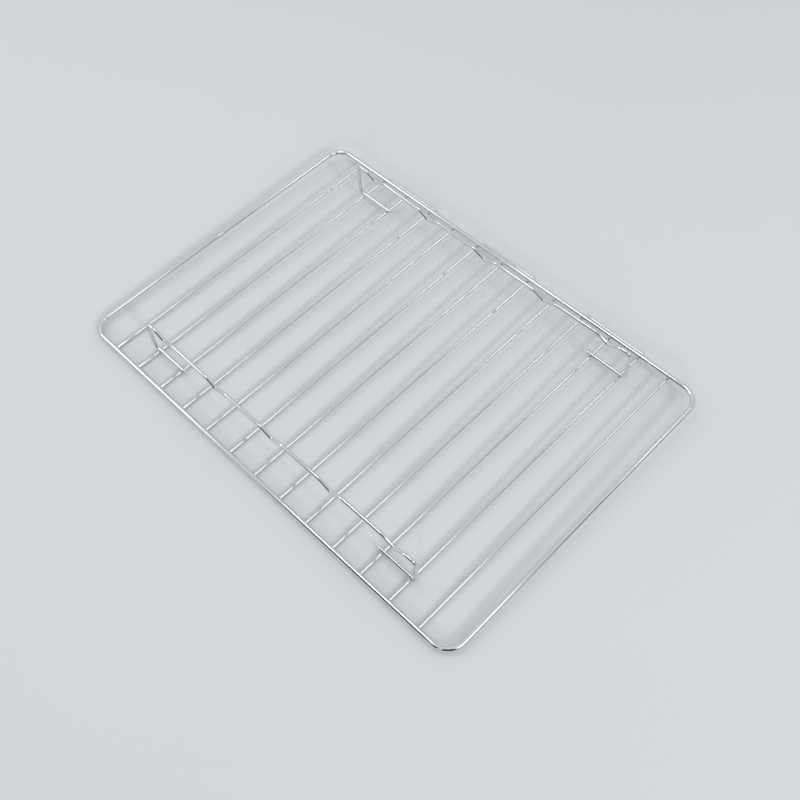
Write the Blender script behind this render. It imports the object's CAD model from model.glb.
import math

import bpy
from mathutils import Matrix, Vector


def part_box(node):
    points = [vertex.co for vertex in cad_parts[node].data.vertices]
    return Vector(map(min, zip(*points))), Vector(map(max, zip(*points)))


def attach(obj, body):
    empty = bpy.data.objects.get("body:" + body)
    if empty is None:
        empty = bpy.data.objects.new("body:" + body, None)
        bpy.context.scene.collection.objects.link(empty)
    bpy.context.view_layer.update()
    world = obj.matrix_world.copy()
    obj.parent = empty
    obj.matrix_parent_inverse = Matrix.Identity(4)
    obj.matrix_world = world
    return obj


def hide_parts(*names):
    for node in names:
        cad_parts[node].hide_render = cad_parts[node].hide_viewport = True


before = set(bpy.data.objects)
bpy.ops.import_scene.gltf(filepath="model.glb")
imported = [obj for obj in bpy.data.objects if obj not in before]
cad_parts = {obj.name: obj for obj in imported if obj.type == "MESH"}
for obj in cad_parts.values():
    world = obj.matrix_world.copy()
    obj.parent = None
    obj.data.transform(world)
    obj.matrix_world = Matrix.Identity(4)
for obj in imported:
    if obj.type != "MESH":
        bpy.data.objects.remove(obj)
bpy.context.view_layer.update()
mm = 0.001  # every size below is written in millimetres and scaled once
print("stage: CAD frame loaded")


class Signal:  # one socket of a node tree, used in plain expressions
    def __init__(self, tree, socket=None):
        self.tree = tree
        self.socket = socket

    def node(self, kind, settings=None, inputs=None, output=0):
        made = self.tree.nodes.new(kind)
        for name, value in (settings or {}).items():
            setattr(made, name, value)
        for key, value in (inputs or {}).items():
            if isinstance(value, Signal):
                self.tree.links.new(value.socket, made.inputs[key])
            else:
                made.inputs[key].default_value = value
        return Signal(self.tree, made.outputs[output] if made.outputs else None)

    def also(self, output):  # another output of the same node
        return Signal(self.tree, self.socket.node.outputs[output])

    def maths(self, operation, first, second):
        return self.node("ShaderNodeMath", {"operation": operation}, {0: first, 1: second})

    def __add__(self, other):
        return self.maths("ADD", self, other)

    def __radd__(self, other):
        return self.maths("ADD", other, self)

    def __sub__(self, other):
        return self.maths("SUBTRACT", self, other)

    def __rsub__(self, other):
        return self.maths("SUBTRACT", other, self)

    def __mul__(self, other):
        return self.maths("MULTIPLY", self, other)

    def __rmul__(self, other):
        return self.maths("MULTIPLY", other, self)

    def __truediv__(self, other):
        return self.maths("DIVIDE", self, other)

    def __rtruediv__(self, other):
        return self.maths("DIVIDE", other, self)

    def __gt__(self, other):
        return self.maths("GREATER_THAN", self, other)

    def __lt__(self, other):
        return self.maths("LESS_THAN", self, other)

    def ease(self, low, high):  # 0 below low, 1 above high, smooth between
        return self.node("ShaderNodeMapRange", {"interpolation_type": "SMOOTHSTEP"},
                         {0: self, 1: low, 2: high})


def emptyMaterial(name):
    material = bpy.data.materials.new(name)
    material.use_nodes = True
    material.node_tree.nodes.clear()
    return material, Signal(material.node_tree)


def addObject(name, data):
    made = bpy.data.objects.new(name, data)
    bpy.context.scene.collection.objects.link(made)
    return made


# Chrome plating

chromeFinish = {
    "plate": (0.78, 0.79, 0.81),
    "smudge": (0.72, 0.73, 0.75),
    "weldTint": (0.71, 0.71, 0.72),
    "roughness": 0.045,
    "smudgeRoughness": 0.10,
    "weldRoughness": 0.2,
    "lineRoughness": 0.05,
    "weldDulling": 0.55,  # weight of the weld tint near a weld
    "pitDulling": 0.4,  # and in the pits there
    "smudgeScale": 14.0,  # noise scale per metre
    "smudgeRange": (0.48, 0.72),  # noise levels where a smudge begins and where it is full
    "pitScale": 900.0,
    "pitRange": (0.66, 0.74),
    "pitHeat": (0.05, 0.6),  # weld heat where pits begin and where they are full
    "pitSeed": 3.0,
    "lineAround": (9.0, 9.0, 0.0),  # drawing lines lie close round the wire
    "lineAlong": 18.0,  # and run far along it
    "lineRange": (0.55, 0.8),
    "lineSeed": 7.0,
    "drawMarks": 0.02,  # bump strength of the drawing lines
    "markDepth": 0.05,
}


def chromeMaterial(name, seed):
    material, start = emptyMaterial(name)
    place = start.node("ShaderNodeTexCoord", output="Object")
    along = start.node("ShaderNodeAttribute", {"attribute_name": "alongWire"}, output="Fac")
    around = start.node("ShaderNodeAttribute", {"attribute_name": "aroundWire"}, output="Vector")
    heat = start.node("ShaderNodeAttribute", {"attribute_name": "weldHeat"}, output="Fac")

    cloud = start.node("ShaderNodeTexNoise", {"noise_dimensions": "4D"},
                       {"Vector": place, "W": seed, "Scale": chromeFinish["smudgeScale"],
                        "Detail": 3.0, "Roughness": 0.6})
    smudge = cloud.ease(*chromeFinish["smudgeRange"])
    speck = start.node("ShaderNodeTexNoise", {"noise_dimensions": "4D"},
                       {"Vector": place, "W": seed + chromeFinish["pitSeed"],
                        "Scale": chromeFinish["pitScale"], "Detail": 2.0})
    pits = speck.ease(*chromeFinish["pitRange"]) * heat.ease(*chromeFinish["pitHeat"])

    stretch = start.node("ShaderNodeCombineXYZ", inputs={2: along * chromeFinish["lineAlong"]})
    lines = start.node("ShaderNodeVectorMath", {"operation": "MULTIPLY_ADD"},
                       {0: around, 1: chromeFinish["lineAround"], 2: stretch})
    drawn = start.node("ShaderNodeTexNoise", {"noise_dimensions": "4D"},
                       {"Vector": lines, "W": seed + chromeFinish["lineSeed"], "Scale": 2.0,
                        "Detail": 4.0, "Roughness": 0.7})

    plate = start.node("ShaderNodeMix", {"data_type": "RGBA"},
                       {0: smudge, 6: (*chromeFinish["plate"], 1.0), 7: (*chromeFinish["smudge"], 1.0)},
                       output=2)
    dulling = heat * chromeFinish["weldDulling"] + pits * chromeFinish["pitDulling"]
    tinted = start.node("ShaderNodeMix", {"data_type": "RGBA"},
                        {0: dulling.ease(0.0, 1.0), 6: plate, 7: (*chromeFinish["weldTint"], 1.0)},
                        output=2)
    roughness = (chromeFinish["roughness"] + smudge * chromeFinish["smudgeRoughness"]
                 + heat * chromeFinish["weldRoughness"]
                 + drawn.ease(*chromeFinish["lineRange"]) * chromeFinish["lineRoughness"])
    relief = start.node("ShaderNodeBump", inputs={
        "Strength": chromeFinish["drawMarks"], "Distance": chromeFinish["markDepth"] * mm,
        "Height": drawn + pits})
    shader = start.node("ShaderNodeBsdfPrincipled", inputs={
        "Base Color": tinted, "Metallic": 1.0, "Roughness": roughness, "Normal": relief})
    start.node("ShaderNodeOutputMaterial", inputs={"Surface": shader})
    return material


frameChrome = chromeMaterial("frameChrome", 1.0)
crossChrome = chromeMaterial("crossChrome", 2.0)
legChrome = chromeMaterial("legChrome", 3.0)
print("stage: chrome made")


# Bent wire: a path of corners becomes a round wire with true bends, cut ends and weld beads

wireQuality = {"sides": 28, "bendSteps": 14, "ringSpacing": 2.5, "beadRings": 3}
weldBead = {"length": 1.75, "height": 0.85, "lumps": 0.28, "lumpScale": 700.0,  # lumpScale is per metre
            "heatReach": 5.5, "heatCore": 0.25}  # heatCore is the share of the reach at full heat


def wireTree():
    tree = bpy.data.node_groups.new("bentWire", "GeometryNodeTree")
    sockets = (("Path", "NodeSocketGeometry"), ("Wire Radius", "NodeSocketFloat"),
               ("Sides", "NodeSocketInt"), ("Bend Steps", "NodeSocketInt"),
               ("Ring Spacing", "NodeSocketFloat"), ("Bead Length", "NodeSocketFloat"),
               ("Bead Height", "NodeSocketFloat"), ("Bead Lumps", "NodeSocketFloat"),
               ("Heat Reach", "NodeSocketFloat"), ("Seed", "NodeSocketFloat"),
               ("Chrome", "NodeSocketMaterial"))
    for label, kind in sockets:
        tree.interface.new_socket(label, in_out="INPUT", socket_type=kind)
    tree.interface.new_socket("Wire", in_out="OUTPUT", socket_type="NodeSocketGeometry")
    start = Signal(tree)
    entry = start.node("NodeGroupInput", output="Path")
    take = entry.also

    def pathValue(name):
        return start.node("GeometryNodeInputNamedAttribute", {"data_type": "FLOAT"}, {"Name": name})

    def keep(geometry, name, kind, value):
        return start.node("GeometryNodeStoreNamedAttribute", {"data_type": kind, "domain": "POINT"},
                          {"Geometry": geometry, "Name": name, "Value": value})

    def split(geometry, chosen):
        return start.node("GeometryNodeSeparateGeometry", {"domain": "POINT"}, {0: geometry, 1: chosen})

    def smoothed(geometry, faces):
        return start.node("GeometryNodeSetShadeSmooth", {"domain": "FACE"},
                          {"Geometry": geometry, 1: faces, "Shade Smooth": True})

    weldMark = pathValue("weldMark")  # 0 corner of the path, 1 weld with its bead, 2 weld without one
    corners = split(entry, weldMark < 0.5)
    welds = corners.also("Inverted")
    beads = split(welds, weldMark < 1.5)

    line = start.node("GeometryNodeMeshToCurve", inputs={0: corners})
    bent = start.node("GeometryNodeFilletCurve", {"mode": "POLY"},
                      {"Curve": line, "Count": take("Bend Steps"), "Radius": pathValue("bendRadius")})
    here = start.node("GeometryNodeInputPosition")
    nextPoint = start.node("GeometryNodeInputIndex") + 1.0
    ahead = start.node("GeometryNodeFieldAtIndex", {"data_type": "FLOAT_VECTOR", "domain": "POINT"},
                       {"Index": nextPoint, "Value": here})
    gap = start.node("ShaderNodeVectorMath", {"operation": "DISTANCE"}, {0: here, 1: ahead},
                     output="Value")
    ringed = start.node("GeometryNodeSubdivideCurve",
                        inputs={"Curve": bent, "Cuts": gap / take("Ring Spacing")})
    reach = start.node("GeometryNodeSplineParameter", output="Length")
    measured = keep(ringed, "alongWire", "FLOAT", reach)

    circle = start.node("GeometryNodeCurvePrimitiveCircle", {"mode": "RADIUS"},
                        {"Resolution": take("Sides"), "Radius": take("Wire Radius")})
    outward = start.node("ShaderNodeVectorMath", {"operation": "NORMALIZE"}, {0: here})
    section = keep(circle, "aroundWire", "FLOAT_VECTOR", outward)
    swept = start.node("GeometryNodeCurveToMesh", inputs={
        "Curve": measured, "Profile Curve": section, "Scale": pathValue("thickness"), "Fill Caps": True})
    cornersOfFace = start.node("GeometryNodeInputMeshFaceNeighbors", output="Vertex Count")
    smoothWire = smoothed(swept, cornersOfFace < 4.5)  # the end caps have more corners and stay flat

    ball = start.node("GeometryNodeMeshIcoSphere",
                      inputs={"Radius": 1.0, "Subdivisions": wireQuality["beadRings"]})
    size = start.node("ShaderNodeCombineXYZ", inputs={0: take("Bead Length"), 1: take("Bead Length"),
                                                      2: take("Bead Height")})
    nugget = start.node("GeometryNodeTransform", inputs={"Geometry": ball, "Scale": size})
    placed = start.node("GeometryNodeInstanceOnPoints", inputs={"Points": beads, "Instance": nugget})
    real = start.node("GeometryNodeRealizeInstances", inputs={"Geometry": placed})
    ripple = start.node("ShaderNodeTexNoise", {"noise_dimensions": "4D"},
                        {"Vector": here, "W": take("Seed"), "Scale": weldBead["lumpScale"],
                         "Detail": 2.0}, output="Color")
    centred = start.node("ShaderNodeVectorMath", {"operation": "SUBTRACT"},
                         {0: ripple, 1: (0.5, 0.5, 0.5)})
    push = start.node("ShaderNodeVectorMath", {"operation": "SCALE"},
                      {0: centred, "Scale": take("Bead Lumps")})
    lumpy = start.node("GeometryNodeSetPosition", inputs={"Geometry": real, "Offset": push})
    smoothBead = smoothed(lumpy, True)

    joined = start.node("GeometryNodeJoinGeometry")
    for part in (smoothBead, smoothWire):
        tree.links.new(part.socket, joined.socket.node.inputs[0])
    away = start.node("GeometryNodeProximity", {"target_element": "POINTS"}, {0: welds},
                      output="Distance")
    heat = 1.0 - (away / take("Heat Reach")).ease(weldBead["heatCore"], 1.0)
    warmed = keep(joined, "weldHeat", "FLOAT", heat)
    whole = start.node("GeometryNodeRealizeInstances", inputs={"Geometry": warmed})
    plated = start.node("GeometryNodeSetMaterial",
                        inputs={"Geometry": whole, "Material": take("Chrome")})
    leave = tree.nodes.new("NodeGroupOutput")
    tree.links.new(plated.socket, leave.inputs["Wire"])
    return tree


bentWire = wireTree()


def corner(x, y, z, bend=0.0, thickness=1.0):
    return {"place": Vector((x, y, z)), "bend": bend, "thickness": thickness}


wireEnd = {"chamfer": 0.35, "tip": 0.78}  # tip is the share of the thickness left at the very end


def cutEnds(path):  # both ends get a small bevel, as a sheared and plated wire has
    first, second, last, before = path[0], path[1], path[-1], path[-2]
    chamfer = wireEnd["chamfer"] * mm
    inFirst = first["place"] + (second["place"] - first["place"]).normalized() * chamfer
    inLast = last["place"] + (before["place"] - last["place"]).normalized() * chamfer
    head = [corner(*first["place"], thickness=wireEnd["tip"]), corner(*inFirst)]
    tail = [corner(*inLast), corner(*last["place"], thickness=wireEnd["tip"])]
    return head + path[1:-1] + tail


def makeWire(name, path, welds, radius, closed, chrome, seed):
    mesh = bpy.data.meshes.new(name)
    edges = [(index, index + 1) for index in range(len(path) - 1)]
    if closed:
        edges.append((len(path) - 1, 0))
    marks = [place for place, carried in welds]
    mesh.from_pydata([point["place"] for point in path] + marks, edges, [])
    values = {
        "bendRadius": [point["bend"] for point in path] + [0.0] * len(welds),
        "thickness": [point["thickness"] for point in path] + [1.0] * len(welds),
        "weldMark": [0.0] * len(path) + [2.0 if carried else 1.0 for place, carried in welds],
    }
    for label, numbers in values.items():
        mesh.attributes.new(label, "FLOAT", "POINT").data.foreach_set("value", numbers)
    wire = addObject(name, mesh)

    settings = {
        "Wire Radius": radius, "Sides": wireQuality["sides"], "Bend Steps": wireQuality["bendSteps"],
        "Ring Spacing": wireQuality["ringSpacing"] * mm, "Bead Length": weldBead["length"] * mm,
        "Bead Height": weldBead["height"] * mm, "Bead Lumps": weldBead["lumps"] * mm,
        "Heat Reach": weldBead["heatReach"] * mm, "Seed": seed, "Chrome": chrome,
    }
    modifier = wire.modifiers.new("bentWire", "NODES")
    modifier.node_group = bentWire
    for item in bentWire.interface.items_tree:
        if item.in_out == "INPUT" and item.name in settings:
            modifier[item.identifier] = settings[item.name]
    graph = bpy.context.evaluated_depsgraph_get()
    finished = bpy.data.meshes.new_from_object(wire.evaluated_get(graph), preserve_all_data_layers=True,
                                               depsgraph=graph)
    wire.modifiers.remove(modifier)
    wire.data = finished
    for label in values:
        if label in finished.attributes:
            finished.attributes.remove(finished.attributes[label])
    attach(wire, "root")
    return wire


# Places of the wires, read from the CAD frame

frameLow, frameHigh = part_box("frame_wire")
crossLow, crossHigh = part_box("cross_wire_1")
loopLow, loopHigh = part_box("loop_wire_left")
railRadius = (frameHigh.z - frameLow.z) / 2
crossRadius = (crossHigh.x - crossLow.x) / 2
railLevel = (frameHigh.z + frameLow.z) / 2
crossLevel = loopHigh.z - crossRadius
weldLevel = (frameLow.z + crossLevel + crossRadius) / 2
frontRail = frameLow.y + railRadius
backRail = frameHigh.y - railRadius
leftRail = frameLow.x + railRadius
rightRail = frameHigh.x - railRadius
straightNames = [f"cross_wire_{number}" for number in range(1, 8)]
loopNames = ["loop_wire_left", "loop_wire_middle", "loop_wire_right"]
legNames = ["front_leg_wire", "back_leg_wire"]


def middle(node):
    low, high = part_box(node)
    return (low + high) / 2


crossPlaces = [middle(node).x for node in straightNames]
for node in loopNames:
    low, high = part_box(node)
    crossPlaces += [low.x + crossRadius, high.x - crossRadius]
crossPlaces.sort()


# Frame: one closed thick wire, butt welded in the left rail

frameWire = {"cornerRadius": 15.0, "buttWeldPlace": -3.7, "buttWeldLength": 1.6, "buttWeldSwell": 1.09,
             "seed": 1.0}
seamY = (frontRail + backRail) / 2 + frameWire["buttWeldPlace"] * mm
seamHalf = frameWire["buttWeldLength"] * mm / 2
swell = frameWire["buttWeldSwell"]
bend = frameWire["cornerRadius"] * mm
framePath = [
    corner(leftRail, seamY + seamHalf / 2, railLevel, thickness=swell),
    corner(leftRail, seamY + seamHalf * 2, railLevel),
    corner(leftRail, backRail, railLevel, bend),
    corner(rightRail, backRail, railLevel, bend),
    corner(rightRail, frontRail, railLevel, bend),
    corner(leftRail, frontRail, railLevel, bend),
    corner(leftRail, seamY - seamHalf * 2, railLevel),
    corner(leftRail, seamY - seamHalf / 2, railLevel, thickness=swell),
]
frameWelds = [(Vector((x, y, weldLevel)), True) for x in crossPlaces for y in (frontRail, backRail)]
frameWelds.append((Vector((leftRail, seamY, railLevel)), True))
frameRail = makeWire("frameWire", framePath, frameWelds, railRadius, True, frameChrome,
                     frameWire["seed"])
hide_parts("frame_wire")
print("stage: frame bent")


# Straight cross wires, sheared just past both rails

crossWire = {"seed": 10.0}
for number, node in enumerate(straightNames):
    low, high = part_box(node)
    x = (low.x + high.x) / 2
    path = cutEnds([corner(x, low.y, crossLevel), corner(x, high.y, crossLevel)])
    welds = [(Vector((x, y, weldLevel)), False) for y in (frontRail, backRail)]
    wire = makeWire(f"crossWire{number + 1}", path, welds, crossRadius, False, crossChrome,
                    crossWire["seed"] + number)
    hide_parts(node)
print("stage: straight cross wires laid")


# Hairpin loops: two cross wires in one, folded down behind the back rail

loopWire = {"foldStart": 3.0, "foldRadius": 5.0, "cornerRadius": 2.2, "seed": 20.0}
for number, node in enumerate(loopNames):
    low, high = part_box(node)
    left = low.x + crossRadius
    right = high.x - crossRadius
    foldY = backRail + loopWire["foldStart"] * mm
    barY = high.y - crossRadius
    barZ = low.z + crossRadius
    fold = loopWire["foldRadius"] * mm
    turn = loopWire["cornerRadius"] * mm
    path = cutEnds([
        corner(left, low.y, crossLevel), corner(left, foldY, crossLevel, fold),
        corner(left, barY, barZ, turn), corner(right, barY, barZ, turn),
        corner(right, foldY, crossLevel, fold), corner(right, low.y, crossLevel),
    ])
    welds = [(Vector((x, y, weldLevel)), False) for x in (left, right) for y in (frontRail, backRail)]
    wire = makeWire(f"loopWire{number + 1}", path, welds, crossRadius, False, crossChrome,
                    loopWire["seed"] + number)
    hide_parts(node)
print("stage: hairpin loops folded")


# Leg wires: welded feet, uprights and a top with five dips

legWire = {"footOverhang": 4.6, "rise": 31.0, "bow": 3.0, "bendRadius": 4.5, "dips": 5, "dipInset": 21.0,
           "dipDepth": 5.0, "dipHalfWidth": 11.0, "dipRimRadius": 12.0, "dipBottomRadius": 3.0,
           "seed": 30.0}


def legTop(x, y, footZ, halfSpan, bend, drop=0.0):  # a corner on the bowed top, lowest in the middle
    sag = legWire["bow"] * mm * (1 - (x / halfSpan) ** 2)
    return corner(x, y, footZ + legWire["rise"] * mm - sag - drop, bend)


for number, node in enumerate(legNames):
    low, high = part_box(node)
    legRadius = (high.y - low.y) / 2
    y = (low.y + high.y) / 2
    upright = high.x - legRadius
    footZ = low.z + legRadius
    footEnd = [x for x in crossPlaces if x < upright][-2] - legWire["footOverhang"] * mm
    turn = legWire["bendRadius"] * mm
    rim = legWire["dipRimRadius"] * mm
    bottom = legWire["dipBottomRadius"] * mm
    halfDip = legWire["dipHalfWidth"] * mm
    path = [corner(-footEnd, y, footZ), corner(-upright, y, footZ, turn),
            legTop(-upright, y, footZ, upright, turn)]
    for dip in range(legWire["dips"]):
        x = (2 * dip / (legWire["dips"] - 1) - 1) * (upright - legWire["dipInset"] * mm)
        path += [legTop(x - halfDip, y, footZ, upright, rim),
                 legTop(x, y, footZ, upright, bottom, legWire["dipDepth"] * mm),
                 legTop(x + halfDip, y, footZ, upright, rim)]
    path += [legTop(upright, y, footZ, upright, turn), corner(upright, y, footZ, turn),
             corner(footEnd, y, footZ)]
    welds = [(Vector((x, y, weldLevel)), False) for x in crossPlaces if footEnd < abs(x) < upright]
    wire = makeWire(f"legWire{number + 1}", cutEnds(path), welds, legRadius, False, legChrome,
                    legWire["seed"] + number)
    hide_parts(node)
print("stage: leg wires bent")


# Flat sheets for the floor and the studio's cards

def rectangle(left, right, low, high):
    return (left, low), (right, low), (right, high), (left, high)


def flatSheet(name, corners, material):
    mesh = bpy.data.meshes.new(name)
    mesh.from_pydata(corners, [], [(0, 1, 2, 3)])
    mesh.materials.append(material)
    return addObject(name, mesh)


# Floor: pale sheet under the front wire ends and the loop bars

floorSheet = {"colour": (0.624, 0.637, 0.659), "halfSize": 8000.0, "mottle": 0.012, "mottleScale": 3.0,
              "roughness": 0.9, "gloss": 0.1}


def floorMaterial():
    material, start = emptyMaterial("paleSheet")
    place = start.node("ShaderNodeTexCoord", output="Object")
    cloud = start.node("ShaderNodeTexNoise", inputs={"Vector": place, "Scale": floorSheet["mottleScale"],
                                                     "Detail": 2.0})
    pale = tuple(channel * (1 + floorSheet["mottle"]) for channel in floorSheet["colour"])
    dim = tuple(channel * (1 - floorSheet["mottle"]) for channel in floorSheet["colour"])
    colour = start.node("ShaderNodeMix", {"data_type": "RGBA"},
                        {0: cloud, 6: (*dim, 1.0), 7: (*pale, 1.0)}, output=2)
    shader = start.node("ShaderNodeBsdfPrincipled", inputs={
        "Base Color": colour, "Roughness": floorSheet["roughness"],
        "Specular IOR Level": floorSheet["gloss"]})
    start.node("ShaderNodeOutputMaterial", inputs={"Surface": shader})
    return material


frontContact = Vector((0, crossLow.y, crossLow.z))
backContact = Vector((0, loopHigh.y - crossRadius, loopLow.z))
slope = (backContact.z - frontContact.z) / (backContact.y - frontContact.y)
floorHalf = floorSheet["halfSize"] * mm
floorCorners = [(x, y, backContact.z + slope * (y - backContact.y))
                for x, y in rectangle(-floorHalf, floorHalf, -floorHalf, floorHalf)]
floor = flatSheet("floorSheet", floorCorners, floorMaterial())


# Studio: a pale room with far lamps, level panels overhead and dark cards that only the chrome mirrors

shadowLamps = {  # far lamps: the way to each from the rack, the degrees it spans and its strength
    "right": {"toward": (1.65, -0.3, 1.0), "angle": 8.0, "strength": 0.6},
    "front": {"toward": (1.6, -1.9, 1.0), "angle": 10.0, "strength": 0.5},
}
panels = {  # level panels overhead that the chrome mirrors
    "left": {"place": (-950, -600, 1000), "size": (500, 600), "radiance": 2.2},
    "strip": {"place": (-230, -50, 1000), "size": (380, 220), "radiance": 3.2},
    "right": {"place": (835, 40, 1000), "size": (530, 520), "radiance": 2.0},
    "back": {"place": (835, 800, 1000), "size": (530, 320), "radiance": 2.2},
}
room = {"colour": (0.705, 0.717, 0.738)}
flagRing = {"half": 2500, "low": 0, "highs": (750, 330, 750, 750), "colour": (0.35, 0.352, 0.36)}
darkCard = {"left": -230, "right": 60, "y": -600, "low": 100, "high": 700, "colour": (0.02, 0.02, 0.022)}
sideCard = {"corners": ((520, 150), (900, 150), (900, 420), (290, 420)), "z": 300}

for name, lamp in shadowLamps.items():
    light = bpy.data.lights.new(f"{name}Lamp", "SUN")
    light.angle = math.radians(lamp["angle"])
    light.energy = lamp["strength"]
    holder = addObject(f"{name}Lamp", light)
    holder.location = Vector(lamp["toward"])
    holder.rotation_euler = (-holder.location).to_track_quat("-Z", "Y").to_euler()
    holder.visible_glossy = False  # the chrome mirrors the panels and the room, not these

for name, panel in panels.items():
    light = bpy.data.lights.new(f"{name}Panel", "AREA")
    light.shape = "RECTANGLE"
    light.size = panel["size"][0] * mm
    light.size_y = panel["size"][1] * mm
    light.energy = panel["radiance"] * math.pi * light.size * light.size_y
    holder = addObject(f"{name}Panel", light)
    holder.location = Vector(panel["place"]) * mm


def cardMaterial(name, colour):
    material = bpy.data.materials.new(name)
    material.use_nodes = True
    material.node_tree.nodes["Principled BSDF"].inputs["Base Color"].default_value = (*colour, 1.0)
    return material


blackCard = cardMaterial("blackCard", darkCard["colour"])
greyFlag = cardMaterial("greyFlag", flagRing["colour"])


def standCard(name, corners, material):  # only mirrored by the chrome: not seen, and no light held back
    card = flatSheet(name, corners, material)
    card.visible_camera = False
    card.visible_diffuse = False
    card.visible_shadow = False


darkOutline = rectangle(darkCard["left"], darkCard["right"], darkCard["low"], darkCard["high"])
standCard("darkCard", [(x * mm, darkCard["y"] * mm, z * mm) for x, z in darkOutline], blackCard)
standCard("sideCard", [(x * mm, y * mm, sideCard["z"] * mm) for x, y in sideCard["corners"]], blackCard)
for quarter, high in enumerate(flagRing["highs"]):  # behind, left, front and right: dark edges on wires
    turning = Matrix.Rotation(quarter * math.pi / 2, 3, "Z")
    flagOutline = rectangle(-flagRing["half"], flagRing["half"], flagRing["low"], high)
    standCard(f"flag{quarter + 1}", [turning @ Vector((x, flagRing["half"], z)) * mm
                                     for x, z in flagOutline], greyFlag)

world = bpy.data.worlds.new("paleRoom")
world.use_nodes = True
world.node_tree.nodes.clear()
sky = Signal(world.node_tree)
glow = sky.node("ShaderNodeBackground", inputs={"Color": (*room["colour"], 1.0)})
sky.node("ShaderNodeOutputWorld", inputs={"Surface": glow})
bpy.context.scene.world = world
bpy.context.scene.view_settings.view_transform = "Standard"
print("stage: floor and lamps set")


# Camera at the photograph's angle

photoView = {"azimuth": 48.342, "elevation": 57.491, "roll": -4.371, "distance": 771.334,
             "target": (34.053, -17.856, 0.0),  # from the middle of the rails
             "lens": 45.0, "sensor": 36.0, "clipStart": 10.0}
azimuth, elevation, roll = (math.radians(photoView[key]) for key in ("azimuth", "elevation", "roll"))
backward = Vector((math.sin(azimuth) * math.cos(elevation), -math.cos(azimuth) * math.cos(elevation),
                   math.sin(elevation)))
across = Vector((0, 0, 1)).cross(backward).normalized()
upward = backward.cross(across)
pictureRight = across * math.cos(roll) + upward * math.sin(roll)
pictureUp = upward * math.cos(roll) - across * math.sin(roll)
turned = Matrix((pictureRight, pictureUp, backward)).transposed().to_4x4()
railMiddle = Vector((0, (frontRail + backRail) / 2, railLevel))
cameraPlace = railMiddle + (Vector(photoView["target"]) + backward * photoView["distance"]) * mm
cameraData = bpy.data.cameras.new("photoCamera")
cameraData.sensor_width = photoView["sensor"]
cameraData.lens = photoView["lens"]
cameraData.clip_start = photoView["clipStart"] * mm
camera = addObject("photoCamera", cameraData)
camera.matrix_world = Matrix.Translation(cameraPlace) @ turned
bpy.context.scene.camera = camera

cameraCard = {"distance": 500.0, "spans": ((-450.0, -215.0), (-103.0, 150.0)),
              "low": 60.0, "high": 1250.0}  # two dark uprights behind the camera, mirrored in the bends
cardFoot = Vector((math.sin(azimuth), -math.cos(azimuth), 0.0)) * cameraCard["distance"]
for number, (left, right) in enumerate(cameraCard["spans"]):
    cardOutline = rectangle(left, right, cameraCard["low"], cameraCard["high"])
    standCard(f"cameraCard{number + 1}", [(cardFoot + across * x + Vector((0, 0, z))) * mm
                                          for x, z in cardOutline], blackCard)

print("stage: camera set, sizes written")
